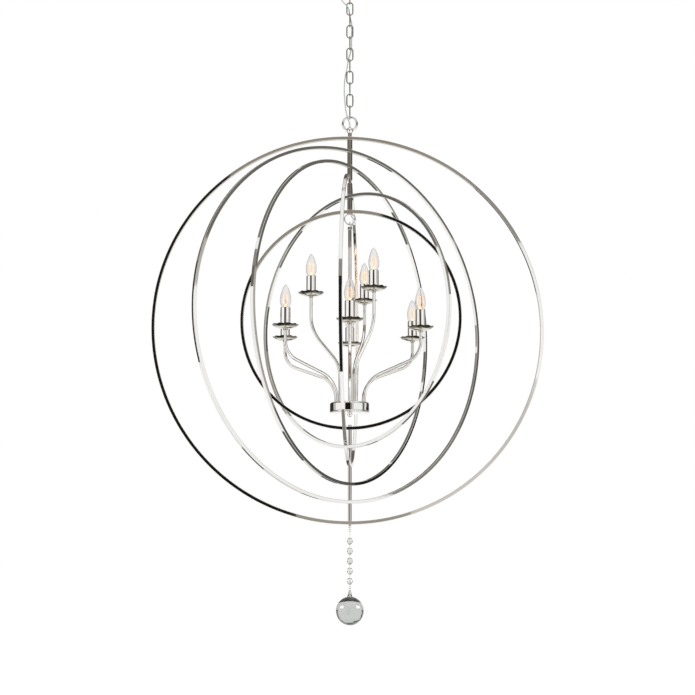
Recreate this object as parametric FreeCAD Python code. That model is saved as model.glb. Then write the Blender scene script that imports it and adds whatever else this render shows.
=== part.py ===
import FreeCAD, Part
import math
import os

# Orb chandelier, millimetres, +Z up. The origin is the centre of the ceiling face.
# X runs to the viewer's right and Y away from the viewer; everything hangs below Z = 0.

# Fits and gaps
running_gap = 0.3        # between loops, links and hoops that swing or turn
pin_gap = 0.1            # radial, hoops on their stem rods
slip_gap = 0.05          # radial, tubes, nuts and nipples that are screwed or pushed together
run_out = 1.0            # how far a cutting rod runs past the face that it opens
corner_share = 0.45      # of the shorter run, taken by the arc at a cord's corner

# Ceiling fitting
strap_length = 104.0
strap_width = 22.0
strap_thickness = 2.5
slot_spacing = 88.9
slot_width = 5.2
slot_length = 11.0
canopy_radius = 65.0
canopy_height = 28.0
canopy_crown_radius = 44.0
canopy_rim_drop = 6.0
canopy_wall = 1.2
nipple_radius = 4.85
nipple_bore = 3.2
collar_radius = 15.0
collar_height = 7.0
collar_bevel = 3.0
collar_bevel_height = 2.5
collar_edge = 1.0
loop_body_radius = 8.0
loop_body_height = 12.0
canopy_loop_radius = 13.0
canopy_loop_wire = 2.5
locknut_width = 16.0
locknut_height = 4.0
bushing_x = -32.0
bushing_y = -8.0
bushing_radius = 5.5
bushing_flange_radius = 8.5
bushing_flange = 2.0
bushing_length = 8.0

# Chain
link_count = 11
link_wire = 2.0
link_width = 23.3
link_pitch = 39.0

# Hanging loop, ball and stem
hang_loop_radius = 22.5
hang_loop_wire = 3.5
ball_radius = 10.3
ball_bore_depth = 4.0
neck_radius = 6.0
neck_height = 12.5
stem_rod_radius = 3.0
stem_tube_radius = 8.0
stem_tube_wall = 1.5
hang_boss_height = 4.0
stem_rod_seat = 1.0
hang_ring_radius = 16.75
hang_ring_wire = 2.25

# Hoops: square bar, nested, each turned by its own angle about the stem
bar = 10.0
hoop_radius = 605.0
hoop_step = 52.7
hoop_rises = (0.0, 10.0, 11.0, 14.5, 19.0, 22.5)
hoop_angles = (4.0, 37.9, 58.1, 86.7, -44.0, -6.5)

# Lower stem
lower_tube_radius = 5.75
lower_tube_wall = 1.2
cap_radius = 6.5
cap_height = 6.0
cap_side = 2.5
cap_tip = 2.0
foot_radius = 5.0
foot_height = 4.0
foot_tip = 2.0

# Cluster of lights
cluster_eye_radius = 8.0
cluster_eye_wire = 2.0
cluster_collar_radius = 7.0
cluster_collar_height = 9.5
centre_tube_radius = 5.5
centre_tube_bore = 4.0
centre_tube_length = 545.0
hub_radius = 61.5
hub_height = 32.0
hub_shoulder = 6.0
hub_wall = 1.4
hub_lip = 1.2
hub_lip_height = 3.6
hub_base_thickness = 2.0
finial_radius = 8.0
finial_sink = 3.0
finial_stud_length = 16.0
hub_nut_width = 17.0
hub_nut_height = 5.0

# Arms: a vertical root, an outward bend, a slope, an upward bend and a vertical tip
arm_radius = 4.75
arm_bore = 3.7
arm_tail = 14.0
arm_nut_width = 13.0
arm_nut_height = 4.0
wire_radius = 1.6
lower_angles = (30.0, 90.0, 153.0, 214.0, 270.0, 337.0)   # set by eye, as the arms stand on their nuts
upper_angles = (67.0, 187.0, 307.0)
lower_arm = dict(root=48.0, reach=232.0, riser=10.0, bend=80.0, crook=60.0, slope=20.0)
upper_arm = dict(root=31.0, reach=121.0, riser=82.0, bend=95.0, crook=120.0, slope=50.0)
lower_rim_height = 222.0     # pan rims above the top of the hub
upper_rim_height = 343.0

# One light: pan, sleeve, socket and bulb, measured from the rim of the pan
pan_radius = 40.0
pan_depth = 12.5
pan_wall = 1.0
pan_flat = 8.0
pan_nut_radius = 6.8
pan_nut_height = 6.0
pan_nut_chamfer = 1.2
pan_nut_taper = 2.4
nipple_tail = 16.0
light_nipple_radius = 3.6
light_nipple_bore = 2.2
sleeve_radius = 15.0
sleeve_wall = 1.0
sleeve_top = 51.0
socket_radius = 12.0
socket_foot = 8.0
socket_step = 1.5
socket_top = 38.0
socket_bore = 6.2
base_radius = 6.0
base_length = 22.0
base_tip_radius = 2.6
base_taper = 4.0
base_clearance = 2.0         # under the bulb's base, in the socket
bulb_radius = 17.3
bulb_height = 71.0
bulb_neck_radius = 12.0
bulb_wall = 0.8
bulb_curve = [(1.0, 0.3), (0.82, 0.6), (0.36, 0.9)]   # shares of the bulb's radius and height
filament_radius = 2.4
filament_height = 30.0
filament_share = 0.4         # straight part of the filament stem

# Pendant
foot_eye_radius = 3.4
foot_eye_wire = 0.9
jump_ring_radius = 4.0
jump_ring_wire = 0.8
string_wire = 0.7
string_eye_radius = 3.4
first_bead_drop = 28.4
bead_count = 5
bead_pitch = 29.6
bead_radius = 9.2
bead_height = 20.5
bead_facets = 8
bead_levels = [(0.30, 0.5), (0.74, 0.38), (1.0, 0.12), (1.0, -0.08), (0.68, -0.32), (0.2, -0.5)]
last_eye_drop = 18.7
ball_eye_radius = 3.0
glass_cap_radius = 8.0
glass_cap_height = 19.5
glass_cap_rim = 1.2
glass_cap_tip = 3.0
glass_radius = 42.0
glass_wall = 2.5
glass_mouth = 4.0

# Cords: X, Y and the height above the stem ball's centre, or above the hang boss for the lead
cord_radius = 2.0
cord_route = [
    (-32.0, -8.0, 515.8), (-32.0, -8.0, 492.8), (-31.2, -8.2, 471.8), (-31.4, -8.6, 452.8),
    (-27.5, -9.5, 438.3), (-18.5, -10.0, 426.8), (-10.0, -9.0, 419.3), (-4.0, -3.5, 412.3),
    (-2.2, 4.0, 405.3), (-0.6, 10.6, 396.8), (1.5, 14.5, 386.8), (5.0, 13.5, 373.3),
    (6.4, 10.5, 358.8), (6.2, 8.0, 342.8), (5.5, 7.0, 325.8), (5.5, 6.9, 308.8), (5.6, 6.7, 290.8),
    (4.4, 7.2, 273.8), (-0.4, 7.6, 257.8), (-5.0, 7.0, 242.8), (-7.0, 6.3, 225.8),
    (-9.6, 6.0, 208.8), (-13.4, 5.6, 192.8), (-16.4, 4.6, 175.8), (-17.6, 3.0, 156.8),
    (-18.0, 0.8, 136.8), (-17.4, -2.4, 116.8), (-16.2, -5.6, 97.8), (-14.8, -8.0, 79.8),
    (-12.8, -9.0, 62.8), (-9.6, -8.4, 47.8), (-5.4, -5.8, 35.8), (-1.4, -1.8, 25.8),
    (0.0, 0.0, 15.3), (0.0, 0.0, 6.3),
]
lead_radius = 1.55
lead_route = [
    (3.3, -4.3, 3.0), (3.3, -4.3, -4.2), (5.5, -4.7, -8.9), (9.5, -5.2, -12.3), (12.9, -5.6, -16.3),
    (14.2, -5.8, -21.4), (13.1, -5.6, -26.5), (9.85, -4.6, -30.65), (6.1, -3.3, -34.3),
    (4.0, -2.2, -39.1), (4.0, -2.2, -44.2),
]

vec = FreeCAD.Vector
up = vec(0, 0, 1)
along_x = vec(1, 0, 0)
along_y = vec(0, 1, 0)
fold = math.sin(math.radians(45))


def rod(radius, low, high, x=0.0, y=0.0):
    return Part.makeCylinder(radius, high - low, vec(x, y, low))


def tube(radius, bore, low, high, x=0.0, y=0.0):
    return rod(radius, low, high, x, y).cut(rod(bore, low, high, x, y))


def wire_ring(radius, wire, height, axis):
    return Part.makeTorus(radius, wire, vec(0, 0, height), axis)


def turned(outline):
    """Solid turned about Z from a closed outline of (radius, height) points."""
    points = [vec(radius, 0, height) for radius, height in outline]
    return Part.Face(Part.makePolygon(points + points[:1])).revolve(vec(), up, 360)


def turned_edges(edges):
    return Part.Face(Part.Wire(edges)).revolve(vec(), up, 360)


def line(start, end):
    return Part.LineSegment(start, end).toShape()


def arc(start, middle, end):
    return Part.Arc(start, middle, end).toShape()


def hexagon(width, low, high, x=0.0, y=0.0):
    reach = width / math.sqrt(3)
    turns = [k * math.pi / 3 for k in range(6)]
    corners = [vec(x + reach * math.cos(turn), y + reach * math.sin(turn), low) for turn in turns]
    return Part.Face(Part.makePolygon(corners + corners[:1])).extrude(up * (high - low))


def moved(shape, x=0.0, y=0.0, z=0.0):
    copy = shape.copy()
    copy.translate(vec(x, y, z))
    return copy


def spun(shape, degrees):
    copy = shape.copy()
    copy.rotate(vec(), up, degrees)
    return copy


def round_sweep(path, radius):
    """Round bar of the given radius along a wire that starts at its first vertex."""
    edge = path.OrderedEdges[0]
    start = edge.valueAt(edge.FirstParameter)
    section = Part.Wire(Part.makeCircle(radius, start, edge.tangentAt(edge.FirstParameter)))
    return path.makePipeShell([section], True, False)


def rounded_route(points):
    """Straight runs joined by tangent arcs. Returns the wire and the radii."""
    edges = []
    radii = []
    last = points[0]
    for before, corner, after in zip(points, points[1:], points[2:]):
        back = before - corner
        ahead = after - corner
        cut = corner_share * min(back.Length, ahead.Length)
        turn = math.pi - back.getAngle(ahead)
        start = corner + back.normalize() * cut
        end = corner + ahead.normalize() * cut
        radius = cut / math.tan(turn / 2)
        middle_way = (back + ahead).normalize()
        middle = corner + middle_way * (radius / math.cos(turn / 2) - radius)
        edges.append(line(last, start))
        edges.append(arc(start, middle, end))
        radii.append(radius)
        last = end
    edges.append(line(last, points[-1]))
    return Part.Wire(edges), radii


def cord(points, radius, name):
    path, radii = rounded_route(points)
    solid = round_sweep(path, radius)
    expected = math.pi * radius**2 * path.Length
    print(name, "length %.1f, least radius %.1f" % (path.Length, min(radii)))
    print(name, "radii", " ".join("%.0f" % r for r in radii))
    print(name, "volume %.0f of %.0f" % (solid.Volume, expected))
    return solid


# --- heights, worked down from the ceiling ---
canopy_loop_centre = -(canopy_height + loop_body_height + canopy_loop_radius)
loop_bottom = canopy_loop_centre - canopy_loop_radius
link_half = link_pitch / 2 + 2 * link_wire + running_gap / 2
link_bend = link_width / 2 - link_wire
wire_reach = link_half - link_wire
top_link_centre = loop_bottom + canopy_loop_wire + link_wire + running_gap - wire_reach
link_centres = [top_link_centre - link_pitch * (link_count - 1 - k) for k in range(link_count)]
hang_loop_top = link_centres[0] - wire_reach + link_wire + hang_loop_wire + running_gap
hang_loop_centre = hang_loop_top - hang_loop_radius
ball_centre = hang_loop_centre - hang_loop_radius
ball_drop = math.sqrt(ball_radius**2 - neck_radius**2)
neck_bottom = ball_centre - ball_drop - neck_height
orb_centre = neck_bottom - running_gap - bar / 2 - hoop_radius
hoop_radii = [hoop_radius - hoop_step * k for k in range(len(hoop_rises))]
hoop_centres = [orb_centre + rise for rise in hoop_rises]
top_bars = [centre + radius for centre, radius in zip(hoop_centres, hoop_radii)]
low_bars = [centre - radius for centre, radius in zip(hoop_centres, hoop_radii)]

hang_boss_top = top_bars[-1] - bar / 2 - running_gap
hang_boss_bottom = hang_boss_top - hang_boss_height
hang_ring_centre = hang_boss_bottom + hang_ring_wire - hang_ring_radius
hang_ring_low = hang_ring_centre - hang_ring_radius
cluster_eye_top = hang_ring_low + hang_ring_wire + cluster_eye_wire + running_gap
cluster_eye_centre = cluster_eye_top - cluster_eye_radius
cluster_collar_top = cluster_eye_centre - cluster_eye_radius + cluster_eye_wire
cluster_collar_bottom = cluster_collar_top - cluster_collar_height
centre_tube_top = cluster_collar_bottom + cluster_collar_height / 3
hub_top = cluster_collar_bottom - centre_tube_length
hub_bottom = hub_top - hub_height
finial_centre = hub_bottom - finial_radius + finial_sink
tiers = [
    (lower_arm, lower_angles, hub_top + lower_rim_height),
    (upper_arm, upper_angles, hub_top + upper_rim_height),
]

cap_bottom = low_bars[-1] + bar / 2 + running_gap
cap_top = cap_bottom + cap_height
foot_top = low_bars[0] - bar / 2 - running_gap
foot_eye_centre = foot_top - foot_height - foot_eye_radius + foot_eye_wire
jump_ring_top = foot_eye_centre - foot_eye_radius + foot_eye_wire + jump_ring_wire + running_gap
jump_ring_centre = jump_ring_top - jump_ring_radius
string_eye_top = jump_ring_centre - jump_ring_radius + jump_ring_wire + string_wire + running_gap
string_eye_centre = string_eye_top - string_eye_radius
first_bead_centre = string_eye_centre - string_eye_radius - first_bead_drop
bead_centres = [first_bead_centre - bead_pitch * k for k in range(bead_count)]
last_eye_centre = bead_centres[-1] - last_eye_drop
ball_eye_centre = last_eye_centre - string_eye_radius + 2 * string_wire + running_gap - ball_eye_radius
glass_cap_top = ball_eye_centre - ball_eye_radius + string_wire
glass_cap_bottom = glass_cap_top - glass_cap_height
glass_seat = math.sqrt(glass_radius**2 - glass_cap_radius**2)
glass_centre = glass_cap_bottom - glass_seat


# --- ceiling fitting ---
def make_strap():
    plate = Part.makeBox(
        strap_length, strap_width, strap_thickness, vec(-strap_length / 2, -strap_width / 2, -strap_thickness)
    )
    plate = plate.cut(rod(nipple_radius + slip_gap, -strap_thickness, 0))
    for side in (-1, 1):
        x = side * slot_spacing / 2
        half = (slot_length - slot_width) / 2
        ends = [rod(slot_width / 2, -strap_thickness, 0, x + step) for step in (-half, half)]
        corner = vec(x - half, -slot_width / 2, -strap_thickness)
        middle = Part.makeBox(2 * half, slot_width, strap_thickness, corner)
        plate = plate.cut(ends[0].fuse([ends[1], middle]))
    return plate


def canopy_outline(inset):
    """Straight rim, quarter curve and flat crown, set in by the given wall."""
    side = canopy_radius - inset
    crown = inset - canopy_height
    curve_wide = side - canopy_crown_radius
    curve_high = -crown - canopy_rim_drop
    curve_middle = vec(canopy_crown_radius + curve_wide * fold, 0, -canopy_rim_drop - curve_high * fold)
    return [
        line(vec(side, 0, 0), vec(side, 0, -canopy_rim_drop)),
        arc(vec(side, 0, -canopy_rim_drop), curve_middle, vec(canopy_crown_radius, 0, crown)),
        line(vec(canopy_crown_radius, 0, crown), vec(0, 0, crown)),
        line(vec(0, 0, crown), vec()),
        line(vec(), vec(side, 0, 0)),
    ]


def make_canopy():
    shell = turned_edges(canopy_outline(0)).cut(turned_edges(canopy_outline(canopy_wall)))
    shell = shell.cut(rod(loop_body_radius + slip_gap, -canopy_height - run_out, 0))
    return shell.cut(rod(bushing_radius + slip_gap, -canopy_height - run_out, 0, bushing_x, bushing_y))


def make_nipple():
    return tube(nipple_radius, nipple_bore, -canopy_height - loop_body_height / 2, -running_gap)


def make_collar():
    low = -canopy_height - collar_height
    outline = [
        (loop_body_radius + slip_gap, low),
        (collar_radius - collar_bevel, low),
        (collar_radius, low + collar_bevel_height),
        (collar_radius, -canopy_height - collar_edge),
        (collar_radius - collar_edge, -canopy_height),
        (loop_body_radius + slip_gap, -canopy_height),
    ]
    return turned(outline)


def make_canopy_loop():
    high = -canopy_height + canopy_wall
    body = rod(loop_body_radius, -canopy_height - loop_body_height, high)
    body = body.cut(rod(nipple_radius + slip_gap, -canopy_height - loop_body_height / 2, high))
    ring = wire_ring(canopy_loop_radius, canopy_loop_wire, canopy_loop_centre, along_y)
    return body.fuse(ring).removeSplitter()


def make_locknut():
    low = -canopy_height + canopy_wall
    nut = hexagon(locknut_width, low, low + locknut_height)
    return nut.cut(rod(nipple_radius + slip_gap, low, low + locknut_height))


def make_bushing():
    crown = -canopy_height
    body = rod(bushing_radius, crown, crown + bushing_length, bushing_x, bushing_y)
    flange = rod(bushing_flange_radius, crown - bushing_flange, crown, bushing_x, bushing_y)
    bore = rod(cord_radius + slip_gap, crown - bushing_flange, crown + bushing_length, bushing_x, bushing_y)
    return body.fuse(flange).cut(bore).removeSplitter()


# --- chain ---
def make_link(centre, facing):
    """Oval of round wire: two half turns joined by straight sides."""
    straight = link_half - link_wire - link_bend
    section = Part.Face(Part.Wire(Part.makeCircle(link_wire, vec(link_bend, 0, straight), up)))
    crest = section.revolve(vec(0, 0, straight), vec(0, -1, 0), 180)
    foot = crest.mirror(vec(), up)
    sides = [rod(link_wire, -straight, straight, side * link_bend) for side in (-1, 1)]
    link = crest.fuse([foot] + sides).removeSplitter()
    return moved(link if facing else spun(link, 90), z=centre)


# --- hanging loop, ball and stem ---
def make_hang_loop():
    ring = wire_ring(hang_loop_radius, hang_loop_wire, hang_loop_centre, along_y)
    return ring.cut(Part.makeSphere(ball_radius, vec(0, 0, ball_centre)))


def make_ball():
    ball = Part.makeSphere(ball_radius, vec(0, 0, ball_centre))
    neck = rod(neck_radius, neck_bottom, ball_centre)
    solid = ball.fuse(neck)
    bore_bottom = ball_centre + ball_radius - ball_bore_depth
    solid = solid.cut(rod(cord_radius + slip_gap, bore_bottom, ball_centre + ball_radius + run_out))
    return solid.cut(rod(stem_rod_radius + slip_gap, neck_bottom, neck_bottom + neck_height)).removeSplitter()


def make_stem_rod():
    return rod(stem_rod_radius, hang_boss_bottom + stem_rod_seat, neck_bottom + neck_height)


def make_stem_tubes():
    """One spacer between each hoop and the next, clear of both."""
    spacers = []
    for above, below in zip(top_bars, top_bars[1:]):
        low = below + bar / 2 + running_gap
        high = above - bar / 2 - running_gap
        spacers.append(tube(stem_tube_radius, stem_tube_radius - stem_tube_wall, low, high))
    return Part.makeCompound(spacers)


def make_hang_ring():
    boss = rod(stem_tube_radius, hang_boss_bottom, hang_boss_top)
    ring = wire_ring(hang_ring_radius, hang_ring_wire, hang_ring_centre, along_y)
    bore = rod(stem_rod_radius + slip_gap, hang_boss_bottom + stem_rod_seat, hang_boss_top)
    x, y, height = lead_route[0]
    lead_hole = rod(lead_radius + slip_gap, hang_boss_bottom, hang_boss_bottom + height, x, y)
    over = rod(hang_ring_radius, hang_boss_top, hang_boss_top + hang_ring_wire)
    return boss.fuse(ring).cut([bore, lead_hole, over]).removeSplitter()


# --- hoops ---
def make_hoop(index):
    """Square bar rolled to a circle, bored at top and bottom for the stem rods."""
    radius = hoop_radii[index]
    centre = hoop_centres[index]
    inner = radius - bar / 2
    outer = radius + bar / 2
    places = [(inner, -bar / 2), (outer, -bar / 2), (outer, bar / 2), (inner, bar / 2)]
    corners = [vec(x, y, 0) for x, y in places]
    hoop = Part.Face(Part.makePolygon(corners + corners[:1])).revolve(vec(), along_y, 360)
    hoop = hoop.cut(rod(stem_rod_radius + pin_gap, inner - run_out, outer + run_out))
    hoop = hoop.cut(rod(stem_rod_radius + pin_gap, -outer - run_out, -inner + run_out))
    return moved(spun(hoop, hoop_angles[index]), z=centre)


# --- lower stem ---
def make_lower_rod():
    return rod(stem_rod_radius, foot_top - foot_height / 2, cap_bottom + cap_height / 2)


def make_lower_tubes():
    spacers = []
    for below, above in zip(low_bars, low_bars[1:]):
        low = below + bar / 2 + running_gap
        high = above - bar / 2 - running_gap
        spacers.append(tube(lower_tube_radius, lower_tube_radius - lower_tube_wall, low, high))
    return Part.makeCompound(spacers)


def make_lower_cap():
    side = (cap_radius, cap_bottom + cap_side)
    shoulder = (cap_radius * fold, cap_top - (cap_height - cap_side) * (1 - fold) / 2)
    flats = [(0, cap_top), (0, cap_bottom), (cap_radius, cap_bottom)]
    cap = turned(flats + [side, shoulder, (cap_tip, cap_top)])
    return cap.cut(rod(stem_rod_radius + slip_gap, cap_bottom, cap_bottom + cap_height / 2))


def make_foot():
    foot_bottom = foot_top - foot_height
    outline = [(0, foot_bottom), (foot_tip, foot_bottom), (foot_radius, foot_top), (0, foot_top)]
    cone = turned(outline).cut(rod(stem_rod_radius + slip_gap, foot_top - foot_height / 2, foot_top))
    return cone.fuse(wire_ring(foot_eye_radius, foot_eye_wire, foot_eye_centre, along_y)).removeSplitter()


# --- cluster ---
def make_cluster_eye():
    collar = rod(cluster_collar_radius, cluster_collar_bottom, cluster_collar_top)
    ring = wire_ring(cluster_eye_radius, cluster_eye_wire, cluster_eye_centre, along_x)
    bore = rod(centre_tube_radius + slip_gap, cluster_collar_bottom, centre_tube_top)
    x, y, height = lead_route[-1]
    lead_hole = rod(lead_radius + slip_gap, hang_boss_bottom + height, cluster_collar_top, x, y)
    return collar.fuse(ring).cut([bore, lead_hole]).removeSplitter()


def make_centre_tube():
    return tube(centre_tube_radius, centre_tube_bore, hub_bottom + hub_base_thickness, centre_tube_top)


def root_holes():
    """X and Y of every arm's hole in the top of the hub."""
    places = []
    for arm, angles, rim in tiers:
        for angle in angles:
            turn = math.radians(angle)
            places.append((arm["root"] * math.cos(turn), arm["root"] * math.sin(turn)))
    return places


def make_hub_cover():
    """Drum with a rounded shoulder and a turned-out lip, open below."""
    side = hub_radius
    inside = hub_radius - hub_wall
    base = hub_bottom + hub_base_thickness
    round_inset = hub_shoulder * (1 - fold)
    shoulder_middle = vec(side - round_inset, 0, hub_top - round_inset)
    shoulder_start = vec(side, 0, hub_top - hub_shoulder)
    shoulder_end = vec(side - hub_shoulder, 0, hub_top)
    profile = [
        line(vec(0, 0, base), vec(side + hub_lip, 0, base)),
        line(vec(side + hub_lip, 0, base), vec(side, 0, base + hub_lip_height)),
        line(vec(side, 0, base + hub_lip_height), shoulder_start),
        arc(shoulder_start, shoulder_middle, shoulder_end),
        line(shoulder_end, vec(0, 0, hub_top)),
        line(vec(0, 0, hub_top), vec(0, 0, base)),
    ]
    ceiling = hub_top - hub_wall
    bevel = [(inside, hub_top - hub_shoulder), (side - hub_shoulder, ceiling)]
    hollow = turned([(0, base), (inside, base)] + bevel + [(0, ceiling)])
    cover = turned_edges(profile).cut(hollow)
    cover = cover.cut(rod(centre_tube_radius + slip_gap, hub_bottom, hub_top + run_out))
    holes = [rod(arm_radius + slip_gap, hub_bottom, hub_top + run_out, x, y) for x, y in root_holes()]
    return cover.cut(holes)


def make_hub_base():
    plate = rod(hub_radius + hub_lip, hub_bottom, hub_bottom + hub_base_thickness)
    return plate.cut(rod(centre_tube_bore - pin_gap + slip_gap, hub_bottom, hub_bottom + hub_base_thickness))


def make_finial():
    ball = Part.makeSphere(finial_radius, vec(0, 0, finial_centre))
    ball = ball.cut(rod(finial_radius, hub_bottom, hub_bottom + finial_radius))
    stud = rod(centre_tube_bore - pin_gap, finial_centre, hub_bottom + finial_stud_length)
    return ball.fuse(stud).removeSplitter()


def make_hub_nut():
    high = hub_top - hub_wall
    nut = hexagon(hub_nut_width, high - hub_nut_height, high)
    return nut.cut(rod(centre_tube_radius + slip_gap, high - hub_nut_height, high))


def make_arm_nuts():
    high = hub_top - hub_wall
    nuts = []
    for x, y in root_holes():
        nut = hexagon(arm_nut_width, high - arm_nut_height, high, x, y)
        nuts.append(nut.cut(rod(arm_radius + slip_gap, high - arm_nut_height, high, x, y)))
    return Part.makeCompound(nuts)


def arm_path(arm, top):
    """Centre line in the XZ plane, from inside the hub to the underside of the pan."""
    slope = math.radians(arm["slope"])
    turn = math.pi / 2 - slope
    root = arm["root"]
    reach = arm["reach"]
    foot = vec(root, 0, hub_top - arm_tail)
    knee = vec(root, 0, hub_top + arm["riser"])
    knee_centre = vec(root + arm["bend"], 0, knee.z)
    knee_middle = knee_centre + vec(-math.cos(turn / 2), 0, math.sin(turn / 2)) * arm["bend"]
    knee_end = knee_centre + vec(-math.cos(turn), 0, math.sin(turn)) * arm["bend"]
    crook_start_x = reach - arm["crook"] * (1 - math.cos(turn))
    crook_start = vec(crook_start_x, 0, knee_end.z + (crook_start_x - knee_end.x) * math.tan(slope))
    crook_centre = vec(reach - arm["crook"], 0, crook_start.z + arm["crook"] * math.sin(turn))
    crook_middle = crook_centre + vec(math.cos(turn / 2), 0, -math.sin(turn / 2)) * arm["crook"]
    crook_end = vec(reach, 0, crook_centre.z)
    edges = [
        line(foot, knee),
        arc(knee, knee_middle, knee_end),
        line(knee_end, crook_start),
        arc(crook_start, crook_middle, crook_end),
        line(crook_end, vec(reach, 0, top)),
    ]
    return Part.Wire(edges)


def pattern(shape, angles):
    return [spun(shape, angle) for angle in angles]


def make_arms(arm, angles, rim):
    path = arm_path(arm, rim - pan_depth)
    one = round_sweep(path, arm_radius).cut(round_sweep(path, arm_bore))
    return Part.makeCompound(pattern(one, angles))


def make_arm_wires():
    wires = []
    for arm, angles, rim in tiers:
        path = arm_path(arm, rim - pan_depth + pan_wall + socket_foot)
        wires += pattern(round_sweep(path, wire_radius), angles)
    return Part.makeCompound(wires)


# --- lights ---
def make_pan():
    """Shallow round dish with a flat seat, its rim at Z = 0."""
    drop = pan_depth
    across = pan_radius - pan_flat
    radius = (across**2 + drop**2) / (2 * drop)
    middle_r = across / 2
    middle_z = radius - math.sqrt(radius**2 - middle_r**2)
    outer = [vec(pan_flat, 0, -drop), vec(pan_flat + middle_r, 0, middle_z - drop), vec(pan_radius, 0, 0)]
    inner = [point + up * pan_wall for point in outer]
    inner[-1] = vec(pan_radius - pan_wall, 0, pan_wall)
    bore = light_nipple_radius + slip_gap
    edges = [
        line(vec(bore, 0, -drop), outer[0]),
        arc(*outer),
        line(outer[2], vec(pan_radius, 0, pan_wall)),
        line(vec(pan_radius, 0, pan_wall), inner[2]),
        arc(inner[2], inner[1], inner[0]),
        line(inner[0], vec(bore, 0, pan_wall - drop)),
        line(vec(bore, 0, pan_wall - drop), vec(bore, 0, -drop)),
    ]
    return turned_edges(edges)


def make_pan_nut():
    high = -pan_depth
    low = high - pan_nut_height
    bore = arm_radius + slip_gap
    chamfer = [(pan_nut_radius - pan_nut_chamfer, low), (pan_nut_radius, low + pan_nut_taper)]
    return turned([(bore, low)] + chamfer + [(pan_nut_radius, high), (bore, high)])


def make_light_nipple():
    foot = pan_wall - pan_depth
    return tube(light_nipple_radius, light_nipple_bore, -pan_depth - nipple_tail, foot + socket_foot)


def pan_floor(radius):
    """Height of the dish's inner face at a distance from its axis."""
    across = pan_radius - pan_flat
    curve = (across**2 + pan_depth**2) / (2 * pan_depth)
    return pan_wall - pan_depth + curve - math.sqrt(curve**2 - (radius - pan_flat) ** 2)


def make_sleeve():
    low = pan_floor(sleeve_radius) + running_gap
    return tube(sleeve_radius, sleeve_radius - sleeve_wall, low, sleeve_top)


def make_socket():
    low = pan_wall - pan_depth
    body = rod(pan_flat, low, low + socket_step).fuse(rod(socket_radius, low + socket_step, socket_top))
    body = body.cut(rod(light_nipple_radius + slip_gap, low, low + socket_foot))
    return body.cut(rod(socket_bore, socket_top - base_length - base_clearance, socket_top))


def bulb_outline(inset):
    """Torpedo profile from the base to the tip, above the sleeve."""
    foot = vec(base_radius - inset, 0, socket_top - sleeve_top + inset)
    neck = vec(bulb_neck_radius - inset, 0, 0)
    sides = [vec(bulb_radius * wide - inset, 0, bulb_height * high) for wide, high in bulb_curve]
    sides[-1].z -= inset / 2
    return [foot, neck] + sides + [vec(0, 0, bulb_height - inset)]


def bulb_solid(inset):
    points = bulb_outline(inset)
    curve = Part.BSplineCurve()
    curve.interpolate(points)
    low = points[0].z
    edges = [curve.toShape(), line(points[-1], vec(0, 0, low)), line(vec(0, 0, low), points[0])]
    return moved(turned_edges(edges), z=sleeve_top)


def make_bulb_glass():
    return bulb_solid(0).cut(bulb_solid(bulb_wall))


def make_bulb_base():
    high = socket_top
    low = high - base_length
    taper = [(base_tip_radius, low), (base_radius, low + base_taper)]
    return turned([(0, high), (0, low)] + taper + [(base_radius, high)])


def make_filament():
    low = socket_top + bulb_wall
    high = low + filament_height
    waist = low + filament_height * filament_share
    cone = Part.makeCone(filament_radius, filament_radius / 2, high - waist, vec(0, 0, waist))
    return rod(filament_radius, low, waist).fuse(cone)


def at_lights(shape):
    """One copy on the tip of every arm."""
    copies = []
    for arm, angles, rim in tiers:
        copies += pattern(moved(shape, arm["reach"], 0, rim), angles)
    return Part.makeCompound(copies)


# --- pendant ---
def make_string():
    """Wire through the beads with an eye at each end."""
    top_eye = wire_ring(string_eye_radius, string_wire, string_eye_centre, along_y)
    low_eye = wire_ring(string_eye_radius, string_wire, last_eye_centre, along_y)
    wire = rod(string_wire, last_eye_centre + string_eye_radius, string_eye_centre - string_eye_radius)
    return wire.fuse([top_eye, low_eye]).removeSplitter()


def make_bead():
    """Cut crystal: rings of facets between a small table and a blunt point."""
    rings = []
    for share, height in bead_levels:
        corners = [
            vec(
                share * bead_radius * math.cos(2 * math.pi * k / bead_facets),
                share * bead_radius * math.sin(2 * math.pi * k / bead_facets),
                height * bead_height,
            )
            for k in range(bead_facets)
        ]
        rings.append(Part.makePolygon(corners + corners[:1]))
    bead = Part.makeLoft(rings, True, True)
    return bead.cut(rod(string_wire + slip_gap, -bead_height, bead_height))


def make_beads():
    bead = make_bead()
    return Part.makeCompound([moved(bead, z=centre) for centre in bead_centres])


def make_glass_cap():
    rim = [(glass_cap_radius, glass_cap_bottom), (glass_cap_radius, glass_cap_bottom + glass_cap_rim)]
    cone = turned([(0, glass_cap_bottom)] + rim + [(glass_cap_tip, glass_cap_top), (0, glass_cap_top)])
    return cone.fuse(wire_ring(ball_eye_radius, string_wire, ball_eye_centre, along_x)).removeSplitter()


def make_glass_ball():
    outer = Part.makeSphere(glass_radius, vec(0, 0, glass_centre))
    outer = outer.cut(rod(glass_radius, glass_cap_bottom, glass_cap_bottom + glass_radius))
    inner = Part.makeSphere(glass_radius - glass_wall, vec(0, 0, glass_centre))
    return outer.cut(inner).cut(rod(glass_mouth, glass_centre, glass_cap_bottom + run_out))


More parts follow.
